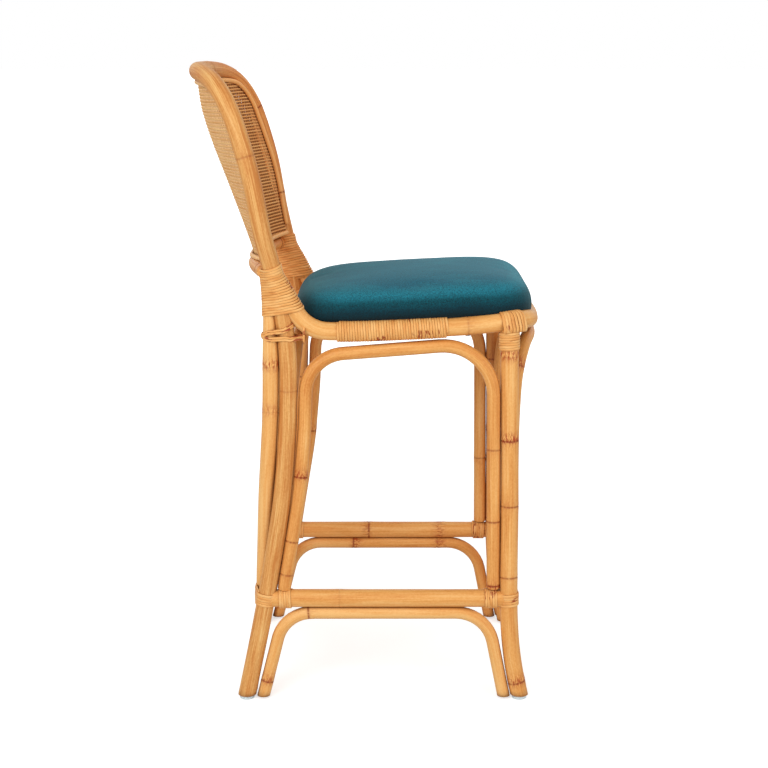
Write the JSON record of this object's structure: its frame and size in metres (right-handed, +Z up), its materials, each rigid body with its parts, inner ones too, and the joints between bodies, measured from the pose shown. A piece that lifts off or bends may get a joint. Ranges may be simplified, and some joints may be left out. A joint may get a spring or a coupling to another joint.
{
  "type": "bar stool",
  "caption": "Counter-height stool with a bent rattan pole frame, footrest rails between flared legs, a bowed open-cane back and a padded seat.",
  "frame": {"origin": "on the floor, under the middle of the stool's bounding box", "axes": "+Z up; the stool faces -Y and its back leans to +Y; X = 0 is the plane of symmetry"},
  "size_m": [0.4544, 0.5534, 0.9915],
  "materials": {
    "pole": "satin lacquered rattan pole",
    "peel": "satin rattan peel binding",
    "cane": "open woven cane, modelled as a thin sheet",
    "plush": "short-pile velvet, teal",
    "plywood": "raw plywood",
    "screw": "zinc-plated",
    "glide": "clear moulded plastic"
  },
  "bodies": {
    "root": {"back_hoop": "pole", "rear_support_left": "pole", "rear_support_right": "pole", "front_leg_left": "pole", "front_leg_right": "pole", "side_stretcher_left": "pole", "side_stretcher_right": "pole", "front_stretcher": "pole", "rear_stretcher": "pole", "upper_side_arch_left": "pole", "upper_side_arch_right": "pole", "lower_side_arch_left": "pole", "lower_side_arch_right": "pole", "upper_front_arch": "pole", "upper_rear_arch": "pole", "lower_front_arch": "pole", "lower_rear_arch": "pole", "back_bottom_rail": "pole", "seat_ring": "pole", "seat_rear_rail": "pole", "panel_bead_front": "pole", "panel_bead_rear": "pole", "bottom_bead_front": "pole", "bottom_bead_rear": "pole", "back_binding_left": "peel", "back_binding_right": "peel", "seat_splice_binding_left": "peel", "seat_splice_binding_right": "peel", "seat_corner_binding_left": "peel", "seat_corner_binding_right": "peel", "leg_top_binding_left": "peel", "leg_top_binding_right": "peel", "front_knot_binding_left": "peel", "front_knot_binding_right": "peel", "rear_knot_binding_left": "peel", "rear_knot_binding_right": "peel", "rear_lashing_left": "peel", "rear_lashing_right": "peel", "side_stretcher_front_binding_left": "peel", "side_stretcher_front_binding_right": "peel", "side_stretcher_rear_binding_left": "peel", "side_stretcher_rear_binding_right": "peel", "front_stretcher_binding_left": "peel", "front_stretcher_binding_right": "peel", "rear_stretcher_binding_left": "peel", "rear_stretcher_binding_right": "peel", "cane_panel": "cane", "cushion": "plush", "seat_board": "plywood", "seat_screw_1": "screw", "seat_screw_2": "screw", "seat_screw_3": "screw", "seat_screw_4": "screw", "front_glide_left": "glide", "front_glide_right": "glide", "rear_glide_left": "glide", "rear_glide_right": "glide"}
  },
  "joints": []
}
